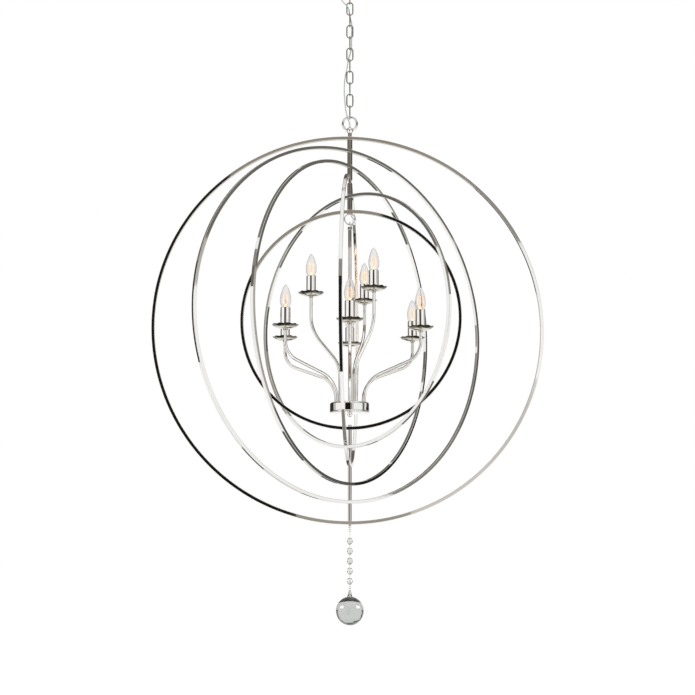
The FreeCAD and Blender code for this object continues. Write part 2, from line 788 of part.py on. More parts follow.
nodes = {
    "mounting_strap": make_strap(),
    "canopy": make_canopy(),
    "canopy_nipple": make_nipple(),
    "canopy_locknut": make_locknut(),
    "canopy_collar": make_collar(),
    "canopy_loop": make_canopy_loop(),
    "cord_bushing": make_bushing(),
    "hang_loop": make_hang_loop(),
    "stem_ball": make_ball(),
    "stem_rod": make_stem_rod(),
    "stem_tubes": make_stem_tubes(),
    "hang_ring": make_hang_ring(),
    "lower_rod": make_lower_rod(),
    "lower_tubes": make_lower_tubes(),
    "lower_cap": make_lower_cap(),
    "lower_foot": make_foot(),
    "cluster_eye": make_cluster_eye(),
    "centre_tube": make_centre_tube(),
    "hub_cover": make_hub_cover(),
    "hub_base": make_hub_base(),
    "hub_finial": make_finial(),
    "hub_nut": make_hub_nut(),
    "arm_nuts": make_arm_nuts(),
    "lower_arms": make_arms(*tiers[0]),
    "upper_arms": make_arms(*tiers[1]),
    "arm_wires": make_arm_wires(),
    "pans": at_lights(make_pan()),
    "pan_nuts": at_lights(make_pan_nut()),
    "light_nipples": at_lights(make_light_nipple()),
    "sleeves": at_lights(make_sleeve()),
    "sockets": at_lights(make_socket()),
    "bulb_glass": at_lights(make_bulb_glass()),
    "bulb_bases": at_lights(make_bulb_base()),
    "filaments": at_lights(make_filament()),
    "jump_ring": wire_ring(jump_ring_radius, jump_ring_wire, jump_ring_centre, along_x),
    "bead_string": make_string(),
    "beads": make_beads(),
    "glass_cap": make_glass_cap(),
    "glass_ball": make_glass_ball(),
}
for index in range(link_count):
    nodes["chain_link_%02d" % (index + 1)] = make_link(link_centres[index], index % 2 == 1)
for index in range(len(hoop_radii)):
    nodes["hoop_%d" % (index + 1)] = make_hoop(index)
routes = (
    ("lamp_cord", cord_route, ball_centre, cord_radius),
    ("cluster_lead", lead_route, hang_boss_bottom, lead_radius),
)
for name, route, datum, radius in routes:
    nodes[name] = cord([vec(x, y, z + datum) for x, y, z in route], radius, name)

os.makedirs("parts", exist_ok=True)
for name, shape in nodes.items():
    if not shape.isValid():
        print("not valid:", name)
    shape.exportStep("parts/%s.step" % name)
print(len(nodes), "nodes")
print("orb centre %.2f, hub top %.2f, glass centre %.2f" % (orb_centre, hub_top, glass_centre))
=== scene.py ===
import math
import bmesh
import bpy
import numpy as np
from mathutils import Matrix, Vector


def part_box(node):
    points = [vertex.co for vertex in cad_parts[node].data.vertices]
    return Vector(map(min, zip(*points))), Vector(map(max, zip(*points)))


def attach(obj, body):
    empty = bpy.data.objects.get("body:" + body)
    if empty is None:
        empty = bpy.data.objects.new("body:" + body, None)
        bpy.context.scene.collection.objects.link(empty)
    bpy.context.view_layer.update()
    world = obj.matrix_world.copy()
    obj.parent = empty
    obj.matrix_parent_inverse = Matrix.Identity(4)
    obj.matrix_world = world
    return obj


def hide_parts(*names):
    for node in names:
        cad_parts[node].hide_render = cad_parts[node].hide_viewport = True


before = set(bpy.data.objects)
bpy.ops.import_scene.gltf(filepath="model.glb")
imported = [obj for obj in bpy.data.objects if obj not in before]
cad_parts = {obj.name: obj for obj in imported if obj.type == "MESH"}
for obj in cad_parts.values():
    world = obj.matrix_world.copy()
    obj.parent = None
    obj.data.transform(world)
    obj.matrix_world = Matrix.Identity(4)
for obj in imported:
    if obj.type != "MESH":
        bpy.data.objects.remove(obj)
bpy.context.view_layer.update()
scene = bpy.context.scene
scene.view_settings.view_transform = "Standard"
mm = 0.001
print("frame loaded")


# an object with the given data, in the scene
def placed(name, data):
    item = bpy.data.objects.new(name, data)
    scene.collection.objects.link(item)
    return item


orbLow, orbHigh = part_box("hoop_1")
orbHeight = (orbLow[2] + orbHigh[2]) / 2  # Z of the outer hoop's centre, from which every height is measured


# Z in metres of a height in millimetres above the centre of the outer hoop
def drop(height):
    return orbHeight + height * mm


# camera: the photograph's viewpoint, level with the pendant and tilted up
cameraSettings = {"distance": 3.2991, "below": 0.56265, "tiltUp": 8.51, "lens": 55.80, "shift": -0.0034,
                  "sensor": 36.0, "farthest": 60.0}
lensData = bpy.data.cameras.new("viewer")
lensData.lens = cameraSettings["lens"]
lensData.sensor_width = cameraSettings["sensor"]
lensData.shift_x = cameraSettings["shift"]
lensData.clip_end = cameraSettings["farthest"]
viewer = placed("viewer", lensData)
viewer.location = (0.0, -cameraSettings["distance"], orbHeight - cameraSettings["below"])
viewer.rotation_euler = (math.radians(90 + cameraSettings["tiltUp"]), 0.0, 0.0)
scene.camera = viewer

# the lamp cord's route: X, Y and the height above the orb's centre, all in millimetres
cordSettings = {
    "radius": 2.0,
    "length": 0.534,
    "points": (
        (-32.0, -8.0, 1147.0), (-32.0, -8.0, 1124.0), (-31.2, -8.2, 1103.0), (-31.4, -8.6, 1084.0),
        (-27.5, -9.5, 1069.5), (-18.5, -10.0, 1058.0), (-10.0, -9.0, 1050.5), (-4.0, -3.5, 1043.5),
        (-2.2, 4.0, 1036.5), (-0.6, 10.6, 1028.0), (1.5, 14.5, 1018.0), (5.0, 13.5, 1004.5),
        (6.4, 10.5, 990.0), (6.2, 8.0, 974.0), (5.5, 7.0, 957.0), (5.5, 6.9, 940.0), (5.6, 6.7, 922.0),
        (4.4, 7.2, 905.0), (-0.4, 7.6, 889.0), (-5.0, 7.0, 874.0), (-7.0, 6.3, 857.0), (-9.6, 6.0, 840.0),
        (-13.4, 5.6, 824.0), (-16.4, 4.6, 807.0), (-17.6, 3.0, 788.0), (-18.0, 0.8, 768.0),
        (-17.4, -2.4, 748.0), (-16.2, -5.6, 729.0), (-14.8, -8.0, 711.0), (-12.8, -9.0, 694.0),
        (-9.6, -8.4, 679.0), (-5.4, -5.8, 667.0), (-1.4, -1.8, 657.0), (0.0, 0.0, 646.5), (0.0, 0.0, 637.5),
    ),
}
leadSettings = {
    "radius": 1.55,
    "length": 0.054,
    "points": (
        (3.3, -4.3, 357.7), (3.3, -4.3, 350.5), (5.5, -4.7, 345.8), (9.5, -5.2, 342.4),
        (12.9, -5.6, 338.4), (14.2, -5.8, 333.3), (13.1, -5.6, 328.2), (9.85, -4.6, 324.05),
        (6.1, -3.3, 320.4), (4.0, -2.2, 315.6), (4.0, -2.2, 310.5),
    ),
}


# NURBS spline of order 3 on the route's points. A curve's bounds grow by its points' radius, so each point
# has the cord's own radius and the section's depth is 1 m.
def cordCurve(name, settings):
    data = bpy.data.curves.new(name, "CURVE")
    data.dimensions = "3D"
    data.bevel_depth = 1.0
    data.bevel_resolution = 5
    data.resolution_u = 8
    data.use_fill_caps = True
    spline = data.splines.new("NURBS")
    points = np.array(settings["points"])
    spline.points.add(len(points) - 1)
    places = np.ones((len(points), 4))
    places[:, :2] = points[:, :2] * mm
    places[:, 2] = drop(points[:, 2])
    spline.points.foreach_set("co", places.ravel())
    spline.points.foreach_set("radius", np.full(len(points), settings["radius"] * mm))
    spline.order_u = 3
    spline.use_endpoint_u = True
    piece = placed(name, data)
    return piece, [tuple(float(v) for v in row[:3]) for row in places]


lampCord, lampPoints = cordCurve("lamp_cord_clear", cordSettings)
clusterLead, leadPoints = cordCurve("cluster_lead_clear", leadSettings)
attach(lampCord, "ceiling")
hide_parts("lamp_cord")
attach(clusterLead, "stem")
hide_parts("cluster_lead")
print("camera and cords placed")


# angles of a full turn in equal steps
def fullTurn(steps):
    return np.linspace(0, 2 * np.pi, steps, endpoint=False)


# the four corners of each quad between neighbouring rows and columns of a grid of point numbers
def gridQuads(index):
    return np.stack([index[:-1, :-1], index[:-1, 1:], index[1:, 1:], index[1:, :-1]], axis=-1).reshape(-1, 4)


# one mesh object with doubled points merged and faces turned outwards; an edge stays crisp where its faces
# meet at more than the sharp angle, and all faces are flat where that is 0
def meshPiece(name, node, body, corners, faces, sharp):
    data = bpy.data.meshes.new(name)
    data.from_pydata(corners.tolist(), [], faces)
    data.validate()
    piece = placed(name, data)
    mesh = bmesh.new()
    mesh.from_mesh(data)
    bmesh.ops.remove_doubles(mesh, verts=mesh.verts, dist=1e-6)
    bmesh.ops.dissolve_degenerate(mesh, dist=1e-7, edges=mesh.edges)
    bmesh.ops.recalc_face_normals(mesh, faces=mesh.faces)
    mesh.to_mesh(data)
    mesh.free()
    data.polygons.foreach_set("use_smooth", np.full(len(data.polygons), sharp > 0))
    if sharp > 0:
        data.set_sharp_from_angle(angle=math.radians(sharp))
    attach(piece, body)
    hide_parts(node)
    return piece


# quads over each (u, v) grid of points, closed round v, and round u too where closeU is true
def gridPiece(name, node, body, grids, slot="chrome", closeU=False, sharp=38.0):
    corners = []
    quads = []
    start = 0
    for grid in grids:
        rows, columns = grid.shape[:2]
        index = np.arange(rows * columns).reshape(rows, columns) + start
        if closeU:
            index = np.vstack([index, index[:1]])
        quads.append(gridQuads(np.hstack([index, index[:, :1]])))
        corners.append(grid.reshape(-1, 3))
        start += rows * columns
    return meshPiece(name, node, body, np.vstack(corners), np.vstack(quads).tolist(), sharp)


# a wall grown from the surface, against its normals (-1) or along them (1)
def giveWall(piece, thickness, offset=-1.0):
    wall = piece.modifiers.new("wall", "SOLIDIFY")
    wall.thickness = thickness * mm
    wall.offset = offset


# (r cos a, r sin a, z) for each (r, z) of the profile and each angle a of a full turn
def latheGrid(profile, sides):
    angle = fullTurn(sides)
    radius = np.asarray(profile)[:, 0, None]
    height = np.asarray(profile)[:, 1, None] + 0 * angle
    return np.stack([radius * np.cos(angle), radius * np.sin(angle), height], axis=-1)


# path + radius (N cos a + B sin a), with B the constant direction across a flat path and N = B x tangent
def tubeGrid(path, tangent, across, radius, sides):
    tangent = tangent / np.linalg.norm(tangent, axis=1, keepdims=True)
    normal = np.cross(across, tangent)
    angle = fullTurn(sides)
    ring = normal[:, None] * np.cos(angle)[:, None] + across * np.sin(angle)[:, None]
    return path[:, None] + radius * ring


# tube on a path in the XZ plane; each end row is drawn in to its own centre, which closes it
def cappedTube(path, radius, sides=24):
    grid = tubeGrid(path, np.gradient(path, axis=0), np.array([0.0, 1.0, 0.0]), radius, sides)
    first, last = (np.repeat(end.mean(axis=1, keepdims=True), sides, axis=1) for end in (grid[:1], grid[-1:]))
    return np.concatenate([first, grid, last], axis=0)


# (radius + u) along the ring's ray and v across it, for each (u, v) of the section and each step of the turn
def ringGrid(section, radius, height, steps):
    angle = fullTurn(steps)[:, None]
    reach = radius + section[None, :, 0]
    depth = section[None, :, 1] + 0 * angle
    return np.stack([reach * np.sin(angle), depth, height + reach * np.cos(angle)], -1)


# the grid turned about Z: x' = x cos t - y sin t, y' = x sin t + y cos t
def turnedAbout(grid, degrees):
    turn = math.radians(degrees)
    spin = np.array([[math.cos(turn), math.sin(turn), 0], [-math.sin(turn), math.cos(turn), 0], [0, 0, 1]])
    return grid @ spin


# two more points on each straight run over six edges long, start + edge and end - edge, to keep its shading
# straight
def supported(profile, edge=0.35):
    points = np.asarray(profile, float)
    out = [points[:1]]
    for start, end in zip(points, points[1:]):
        length = np.linalg.norm(end - start)
        if length > 6 * edge:
            way = (end - start) / length * edge
            out += [[start + way], [end - way]]
        out.append([end])
    return np.vstack(out)


# hoops
hoopSettings = {
    "bar": 10.0, "corner": 0.9, "edge": 0.3, "angles": (4.0, 37.9, 58.1, 86.7, -44.0, -6.5), "steps": 320,
}
halfBar = hoopSettings["bar"] / 2


# square of side 2 half with corners of the given radius: (u, v) offsets across the bar
def hoopSection(half, corner, steps=5):
    quarter = np.linspace(0, np.pi / 2, steps)
    parts = []
    for k in range(4):
        a = quarter + k * np.pi / 2
        middleU = (half - corner) * (1 if k in (0, 3) else -1)
        middleV = (half - corner) * (1 if k in (0, 1) else -1)
        parts.append(np.stack([middleU + corner * np.cos(a), middleV + corner * np.sin(a)], 1))
    return supported(np.vstack(parts + [parts[0][:1]]), hoopSettings["edge"] * mm)[:-1]


# mirrors don't see the hoops, because one hoop's reflection would break the band of the next
hoopNodes = ["hoop_%d" % number for number in range(1, len(hoopSettings["angles"]) + 1)]
hoops = []
barSection = hoopSection(halfBar * mm, hoopSettings["corner"] * mm)
for node, degrees in zip(hoopNodes, hoopSettings["angles"]):
    low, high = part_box(node)
    radius = (high[2] - low[2]) / 2 - halfBar * mm
    grid = ringGrid(barSection, radius, (high[2] + low[2]) / 2, hoopSettings["steps"])
    hoop = gridPiece(node + "_bar", node, node, [turnedAbout(grid, degrees)], closeU=True)
    hoop.visible_glossy = False
    hoops.append(hoop)
print("hoops bent")

# chain; the wire of a link swells a little where its ends are brazed, on one side near the middle
chainSettings = {
    "count": 11, "wire": 2.0, "width": 23.3, "sides": 20, "braze": 0.0875, "brazeReach": 1.6,
    "brazeSide": 4.0,
}


# two half circles of radius bend joined by straight sides, (side, rise) from the link's centre
def linkPath(half, bend, bendSteps=24, sideSteps=12):
    straight = half - bend
    top = np.linspace(-np.pi / 2, np.pi / 2, bendSteps)
    rise = np.linspace(straight, -straight, sideSteps)[1:-1]
    crest = np.stack([bend * np.sin(top), straight + bend * np.cos(top)], 1)
    right = np.stack([np.full(len(rise), bend), rise], 1)
    return np.vstack([crest, right, -crest, -right])


links = []
for number in range(1, chainSettings["count"] + 1):
    node = "chain_link_%02d" % number
    low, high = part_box(node)
    wire = chainSettings["wire"] * mm
    height = (high[2] + low[2]) / 2
    flat = linkPath((high[2] - low[2]) / 2 - wire, chainSettings["width"] / 2 * mm - wire)
    axes = [1, 0, 2] if number % 2 else [0, 1, 2]
    path = np.stack([flat[:, 0], 0 * flat[:, 0], flat[:, 1] + height], 1)[:, axes]
    tangent = np.roll(path, -1, axis=0) - np.roll(path, 1, axis=0)
    bulge = np.exp(-((path[:, 2] - height) / (chainSettings["brazeReach"] * mm)) ** 2)
    swell = 1 + chainSettings["braze"] * bulge * (flat[:, 0] > chainSettings["brazeSide"] * mm)
    across = np.array([0.0, 1.0, 0.0])[axes]
    grid = tubeGrid(path, tangent, across, wire * swell[:, None, None], chainSettings["sides"])
    links.append(gridPiece(node + "_wire", node, "link_%02d" % number, [grid], "chain_nickel", closeU=True))
print("chain linked")


# profiles of (r, z) in millimetres turned about Z; the heights are above the orb's centre
def turnedPiece(name, node, body, profiles, sides=96, **look):
    grids = []
    for profile in profiles:
        points = supported(profile)
        points[:, 0] *= mm
        points[:, 1] = drop(points[:, 1])
        grids.append(latheGrid(points, sides))
    return gridPiece(name, node, body, grids, **look)


# a ring of round wire, in the plane that faces the viewer (XZ) or in the one across it (YZ)
def ringPiece(name, node, body, radius, wire, height, facing, steps=96, sides=24):
    around = fullTurn(sides)
    section = wire * mm * np.stack([np.cos(around), np.sin(around)], 1)
    grid = ringGrid(section, radius * mm, drop(height), steps)
    return gridPiece(name, node, body, [grid if facing else grid[..., [1, 0, 2]]], closeU=True)


# each inner corner of a (r, z) line replaced by a curve (1-t)^2 a + 2t(1-t) b + t^2 c, which starts corner
# away or at most that share of the side
def roundedProfile(points, corner, share=0.45, steps=5):
    points = np.array(points, float)
    out = [points[:1]]
    t = np.linspace(0, 1, steps)[:, None]
    for before, here, after in zip(points, points[1:], points[2:]):
        back = before - here
        ahead = after - here
        cut = min(corner, share * np.linalg.norm(back), share * np.linalg.norm(ahead))
        start = here + back / max(np.linalg.norm(back), 1e-9) * cut
        end = here + ahead / max(np.linalg.norm(ahead), 1e-9) * cut
        out.append((1 - t) ** 2 * start + 2 * t * (1 - t) * here + t**2 * end)
    out.append(points[-1:])
    return np.vstack(out)


# (radius sin a, height + radius cos a) from the first to the last angle in degrees, 0 at the top
def arcProfile(radius, height, first, last, steps):
    angle = np.radians(np.linspace(first, last, steps))
    return np.stack([radius * np.sin(angle), height + radius * np.cos(angle)], 1)


# lowest and highest Z of a node, in millimetres above the centre of the outer hoop
def span(node):
    low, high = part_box(node)
    return (low[2] - orbHeight) / mm, (high[2] - orbHeight) / mm


# ceiling fitting: a quarter ellipse from the rim to the crown
canopySettings = {"radius": 65.0, "crown": 44.0, "rim": 6.0, "wall": 1.2, "hole": 8.0}
canopyLow, canopyHigh = span("canopy")
canopyCurve = arcProfile(1.0, 0.0, 90, 0, steps=20)
canopyWide = canopySettings["radius"] - canopySettings["crown"]
rimLow = canopyHigh - canopySettings["rim"]
canopyProfile = np.vstack([
    [(canopySettings["radius"], canopyHigh)],
    np.stack([
        canopySettings["crown"] + canopyWide * canopyCurve[:, 0],
        rimLow - (rimLow - canopyLow) * canopyCurve[:, 1],
    ], 1),
    [(canopySettings["hole"], canopyLow)],
])
canopyShell = turnedPiece("canopy_shell", "canopy", "ceiling", [canopyProfile], sides=128)
giveWall(canopyShell, canopySettings["wall"])

# hanging loop, ball and stem
stemSettings = {
    "loop": 22.5, "loopWire": 3.5, "ball": 10.3, "ballOpen": 12.0, "neck": 6.0, "neckHeight": 12.5,
    "fillet": 0.4, "filletHigh": 8.6, "filletLow": 9.4, "filletAngle": 3.0, "tube": 8.0, "edge": 0.6,
    "ring": 16.75, "ringWire": 2.25, "ringSlack": 0.5, "boss": 4.0, "gap": 0.3,
}
neck = stemSettings["neck"]
fillet = stemSettings["fillet"]
ballFoot = span("stem_ball")[0]
ballHigh = ballFoot + stemSettings["neckHeight"] + math.sqrt(stemSettings["ball"] ** 2 - neck**2)
hangLoop = ringPiece(
    "hanging_loop", "hang_loop", "stem", stemSettings["loop"], stemSettings["loopWire"],
    ballHigh + stemSettings["loop"], True,
)
neckAngle = 180 - math.degrees(math.asin(neck / stemSettings["ball"])) - stemSettings["filletAngle"]
stemBall = turnedPiece("stem_ball_polished", "stem_ball", "stem", [np.vstack([
    arcProfile(stemSettings["ball"], ballHigh, stemSettings["ballOpen"], neckAngle, steps=40),
    roundedProfile([
        (neck + fillet, ballHigh - stemSettings["filletHigh"]), (neck, ballHigh - stemSettings["filletLow"]),
        (neck, ballFoot + fillet), (neck - fillet, ballFoot), (0.0, ballFoot),
    ], fillet),
])])

topBars = [span(node)[1] - halfBar for node in hoopNodes]
lowBars = [span(node)[0] + halfBar for node in hoopNodes]


# tube side with both ends rounded in to half its radius
def spacerProfile(radius, low, high, edge):
    return roundedProfile([(radius * 0.5, low), (radius, low), (radius, high), (radius * 0.5, high)], edge)


# a tube from each hoop's bar to the next, short of both by the gap
def spacerProfiles(bars, radius, edge):
    gap = stemSettings["gap"]
    pairs = [sorted(pair) for pair in zip(bars, bars[1:])]
    return [spacerProfile(radius, low + halfBar + gap, high - halfBar - gap, edge) for low, high in pairs]


stemTubes = turnedPiece(
    "stem_tubes_polished", "stem_tubes", "stem",
    spacerProfiles(topBars, stemSettings["tube"], stemSettings["edge"]),
)
lowerSettings = {
    "tube": 5.75, "edge": 0.5, "eye": 3.4, "eyeWire": 0.9,
    "cap": 6.5, "capHole": 2.0, "capSide": 2.5, "capCrown": 0.75, "capTop": 0.8, "capCorner": 1.2,
    "foot": 5.0, "footTip": 2.0, "footDepth": 4.0, "footRim": 0.6, "footCorner": 0.5,
}
lowerTubes = turnedPiece(
    "lower_tubes_polished", "lower_tubes", "hoop_1",
    spacerProfiles(lowBars, lowerSettings["tube"], lowerSettings["edge"]),
)
cap = lowerSettings["cap"]
capLow, capHigh = span("lower_cap")
lowerCap = turnedPiece("lower_cap_polished", "lower_cap", "hoop_1", [roundedProfile([
    (lowerSettings["capHole"], capLow), (cap, capLow), (cap, capLow + lowerSettings["capSide"]),
    (cap * lowerSettings["capCrown"], capHigh - lowerSettings["capTop"]), (0.0, capHigh),
], lowerSettings["capCorner"])])
foot = lowerSettings["foot"]
footLow, footHigh = span("lower_foot")
footDeep = footHigh - lowerSettings["footDepth"]
footCone = turnedPiece("foot_cone", "lower_foot", "hoop_1", [roundedProfile([
    (0.0, footDeep), (lowerSettings["footTip"], footDeep), (foot, footHigh - lowerSettings["footRim"]),
    (foot, footHigh), (0.0, footHigh),
], lowerSettings["footCorner"])])
footRing = ringPiece(
    "foot_eye", "lower_foot", "hoop_1", lowerSettings["eye"], lowerSettings["eyeWire"],
    footLow + lowerSettings["eye"] + lowerSettings["eyeWire"], True,
)
bossHigh = topBars[-1] - halfBar - stemSettings["gap"]
bossLow = bossHigh - stemSettings["boss"]
hangBoss = turnedPiece("hang_boss", "hang_ring", "stem", [
    spacerProfile(stemSettings["tube"], bossLow, bossHigh, stemSettings["edge"])
])
hangRing = ringPiece(
    "hang_ring_wire", "hang_ring", "stem", stemSettings["ring"], stemSettings["ringWire"],
    bossLow + stemSettings["ringWire"] - stemSettings["ring"] - stemSettings["ringSlack"], True,
)
print("stem turned")

# cluster: hub, centre tube and arms
hubSettings = {
    "radius": 61.5, "shoulder": 6.0, "lip": 1.2, "lipSide": 0.6, "corner": 0.8, "wall": 1.4, "inset": 1.5,
    "finial": 8.0, "finialAngle": 50.0, "tube": 5.5, "tubeGap": 0.1, "sides": 160,
    "eye": 8.0, "eyeWire": 2.0, "collar": 7.0, "collarHeight": 9.5, "collarEdge": 1.0,
}
hubLow, hubHigh = span("hub_cover")
collarLow, eyeHigh = span("cluster_eye")
clusterEye = ringPiece(
    "cluster_eye_wire", "cluster_eye", "cluster", hubSettings["eye"], hubSettings["eyeWire"],
    eyeHigh - hubSettings["eye"] - hubSettings["eyeWire"], False,
)
clusterCollar = turnedPiece("cluster_collar", "cluster_eye", "cluster", [spacerProfile(
    hubSettings["collar"], collarLow, collarLow + hubSettings["collarHeight"], hubSettings["collarEdge"]
)])
tube = hubSettings["tube"]
centreTube = turnedPiece("centre_tube_polished", "centre_tube", "cluster", [
    [(tube, hubLow), (tube, collarLow + hubSettings["collarEdge"])]
])
side = hubSettings["radius"]
lipSide = side + hubSettings["lip"]
shoulderLow = hubHigh - hubSettings["shoulder"]
hubProfile = np.vstack([
    [(lipSide, hubLow)],
    roundedProfile([
        (lipSide, hubLow + hubSettings["lipSide"]), (side, hubLow + 3 * hubSettings["lip"]),
        (side, shoulderLow),
    ], hubSettings["corner"]),
    arcProfile(hubSettings["shoulder"], shoulderLow, 90, 0, steps=14) + [side - hubSettings["shoulder"], 0.0],
    [(tube + hubSettings["tubeGap"], hubHigh)],
])
hubCover = turnedPiece("hub_cover_polished", "hub_cover", "cluster", [hubProfile], sides=hubSettings["sides"])
giveWall(hubCover, hubSettings["wall"])
baseLow, baseHigh = span("hub_base")
hubBase = turnedPiece("hub_base_polished", "hub_base", "cluster", [roundedProfile([
    (0.0, baseLow), (side - hubSettings["inset"], baseLow), (lipSide, baseLow + hubSettings["corner"]),
    (lipSide, baseHigh), (0.0, baseHigh),
], hubSettings["corner"])], sides=hubSettings["sides"])
finialHigh = span("hub_finial")[0] + hubSettings["finial"]
finial = turnedPiece("hub_finial_polished", "hub_finial", "cluster", [np.vstack([
    arcProfile(hubSettings["finial"], finialHigh, 180, hubSettings["finialAngle"], steps=40),
    [(0.0, baseLow)],
])])

# the rim is the height of a tier's pans above the hub; a light stands on each arm's tip
armTiers = {
    "lower": {
        "root": 48.0, "reach": 232.0, "riser": 10.0, "bend": 80.0, "crook": 60.0, "slope": 20.0,
        "rim": 222.0, "angles": (30.0, 90.0, 153.0, 214.0, 270.0, 337.0),
    },
    "upper": {
        "root": 31.0, "reach": 121.0, "riser": 82.0, "bend": 95.0, "crook": 120.0, "slope": 50.0,
        "rim": 343.0, "angles": (67.0, 187.0, 307.0),
    },
}
armSettings = {"radius": 4.75, "tail": 14.0, "lead": 1.0}
panSettings = {
    "radius": 40.0, "depth": 12.5, "wall": 1.0, "flat": 8.0, "hole": 3.7, "lobes": 10, "wave": 2.2,
    "lift": 1.8,
}


# root, bend about (root + bend), slope, crook about (reach - crook) and tip, as (side, rise) in millimetres
def armLine(arm, top, steps=22):
    slope = math.radians(arm["slope"])
    turn = math.pi / 2 - slope
    knee = hubHigh + arm["riser"]
    a = np.linspace(0, turn, steps)
    bend = np.stack([arm["root"] + arm["bend"] * (1 - np.cos(a)), knee + arm["bend"] * np.sin(a)], 1)
    startX = arm["reach"] - arm["crook"] * (1 - math.cos(turn))
    startZ = bend[-1, 1] + (startX - bend[-1, 0]) * math.tan(slope)
    b = turn - a
    crook = np.stack([
        arm["reach"] - arm["crook"] * (1 - np.cos(b)), startZ + arm["crook"] * (math.sin(turn) - np.sin(b)),
    ], 1)
    lead = armSettings["lead"]
    foot = np.array([(arm["root"], hubHigh - armSettings["tail"]), (arm["root"], knee - lead)])
    tip = np.array([(arm["reach"], crook[-1, 1] + lead), (arm["reach"], top)])
    return np.vstack([foot, bend, crook, tip])


# the tube on one tier's line, up to the seat of its pan, turned to each of the tier's angles
def armGrids(arm):
    flat = armLine(arm, hubHigh + arm["rim"] - panSettings["depth"])
    path = np.stack([flat[:, 0] * mm, 0 * flat[:, 0], drop(flat[:, 1])], 1)
    grid = cappedTube(path, armSettings["radius"] * mm)
    return [turnedAbout(grid, angle) for angle in arm["angles"]]


armPieces = [
    gridPiece(tier + "_arms_bent", tier + "_arms", "cluster", armGrids(arm)) for tier, arm in armTiers.items()
]
print("hub and arms made")


# a grid made about the Z axis with the rim at 0, set on the tip of every arm
def atLights(grid):
    copies = []
    for arm in armTiers.values():
        place = np.array([arm["reach"] * mm, 0.0, drop(hubHigh + arm["rim"])])
        copies += [turnedAbout(grid + place, angle) for angle in arm["angles"]]
    return copies


# a profile of (r, z) in millimetres from the pan's rim, turned about the axis of every light
def lightPiece(name, node, profile, sides=64, **look):
    grid = latheGrid(supported(profile) * mm, sides)
    return gridPiece(name, node, "cluster", atLights(grid), **look)


# dish z = -depth (1 - t^2), r from the flat seat to the rim; the rim waves by t^3 cos(lobes a)
def panGrid(steps=26, sides=160):
    t = np.concatenate([[0.0], np.linspace(0.0, 1.0, steps)])[:, None]
    angle = fullTurn(sides)[None]
    radius = panSettings["flat"] + (panSettings["radius"] - panSettings["flat"]) * t
    radius[0] = panSettings["hole"]
    wave = np.cos(panSettings["lobes"] * angle)
    radius = radius + panSettings["wave"] * t**3 * (wave - 1) / 2
    height = -panSettings["depth"] * (1 - t**2) + panSettings["lift"] * t**3 * (wave - 1) / 2
    return np.stack([radius * np.cos(angle), radius * np.sin(angle), height], -1) * mm


pans = gridPiece("pans_waved", "pans", "cluster", atLights(panGrid()), sharp=60)
giveWall(pans, panSettings["wall"], 1.0)
nutSettings = {
    "points": ((4.8, -18.5), (5.6, -18.5), (6.8, -16.1), (6.8, -12.6), (4.8, -12.6)), "corner": 0.5,
}
nutProfile = roundedProfile(nutSettings["points"], nutSettings["corner"])
panNuts = lightPiece("pan_nuts_turned", "pan_nuts", nutProfile)
sleeveSettings = {"radius": 15.0, "wall": 1.0, "top": 51.0, "foot": -10.9, "edge": 0.5, "corner": 0.4}
sleeveSide = sleeveSettings["radius"]
sleeves = lightPiece("sleeves_polished", "sleeves", roundedProfile([
    (sleeveSide, sleeveSettings["foot"]), (sleeveSide, sleeveSettings["top"] - sleeveSettings["edge"]),
    (sleeveSide - sleeveSettings["edge"], sleeveSettings["top"]),
], sleeveSettings["corner"]))
giveWall(sleeves, sleeveSettings["wall"])
bulbSettings = {
    "points": ((6.0, -13.0), (12.0, 0.0), (17.3, 21.3), (14.2, 42.6), (6.2, 63.9), (0.0, 71.0)), "wall": 0.7,
}


# chord-length polynomial through the torpedo's points: neck, shoulder, belly, waist and tip
def bulbProfile(steps=44):
    points = np.array(bulbSettings["points"])
    step = np.linalg.norm(np.diff(points, axis=0), axis=1)
    knots = np.concatenate([[0], np.cumsum(step)]) / step.sum()
    t = np.linspace(0, 1, steps)
    degree = len(points) - 1
    curve = np.stack([np.polyval(np.polyfit(knots, points[:, k], degree), t) for k in (0, 1)], 1)
    curve[-1, 0] = 0.0
    curve[:, 0] = np.maximum(curve[:, 0], 0.0)
    return curve + [0.0, sleeveSettings["top"]]


bulbs = lightPiece("bulbs_clear", "bulb_glass", bulbProfile(), sides=48, slot="clear_glass", sharp=80)
giveWall(bulbs, bulbSettings["wall"])

filamentSettings = {
    "stem": ((0.0, 39.0), (5.0, 39.0), (2.6, 47.0), (2.2, 60.0), (0.0, 61.5)), "corner": 2.0,
    "strips": 4, "turned": 20.0, "low": 52.0, "high": 92.0, "lean": 1.8, "spread": 6.5, "bow": 0.8,
    "wire": 0.7,
}
stemProfile = roundedProfile(filamentSettings["stem"], filamentSettings["corner"])
glassStems = lightPiece("filament_stems", "filaments", stemProfile, sides=24, slot="warm_filament")


# each lit strip leans by lean + spread sin(pi bow t): out from the glass stem to the belly, in at the top
def stripGrids(steps=12):
    t = np.linspace(0, 1, steps)
    rise = filamentSettings["low"] + t * (filamentSettings["high"] - filamentSettings["low"])
    lean = filamentSettings["lean"] + filamentSettings["spread"] * np.sin(np.pi * t * filamentSettings["bow"])
    path = np.stack([lean, 0 * t, rise], 1) * mm
    strip = cappedTube(path, filamentSettings["wire"] * mm, sides=8)
    count = filamentSettings["strips"]
    copies = []
    for turn in np.arange(count) * 360.0 / count + filamentSettings["turned"]:
        copies += atLights(turnedAbout(strip, turn))
    return copies


strips = gridPiece("filament_strips", "filaments", "cluster", stripGrids(), "warm_filament")
print("lights made")

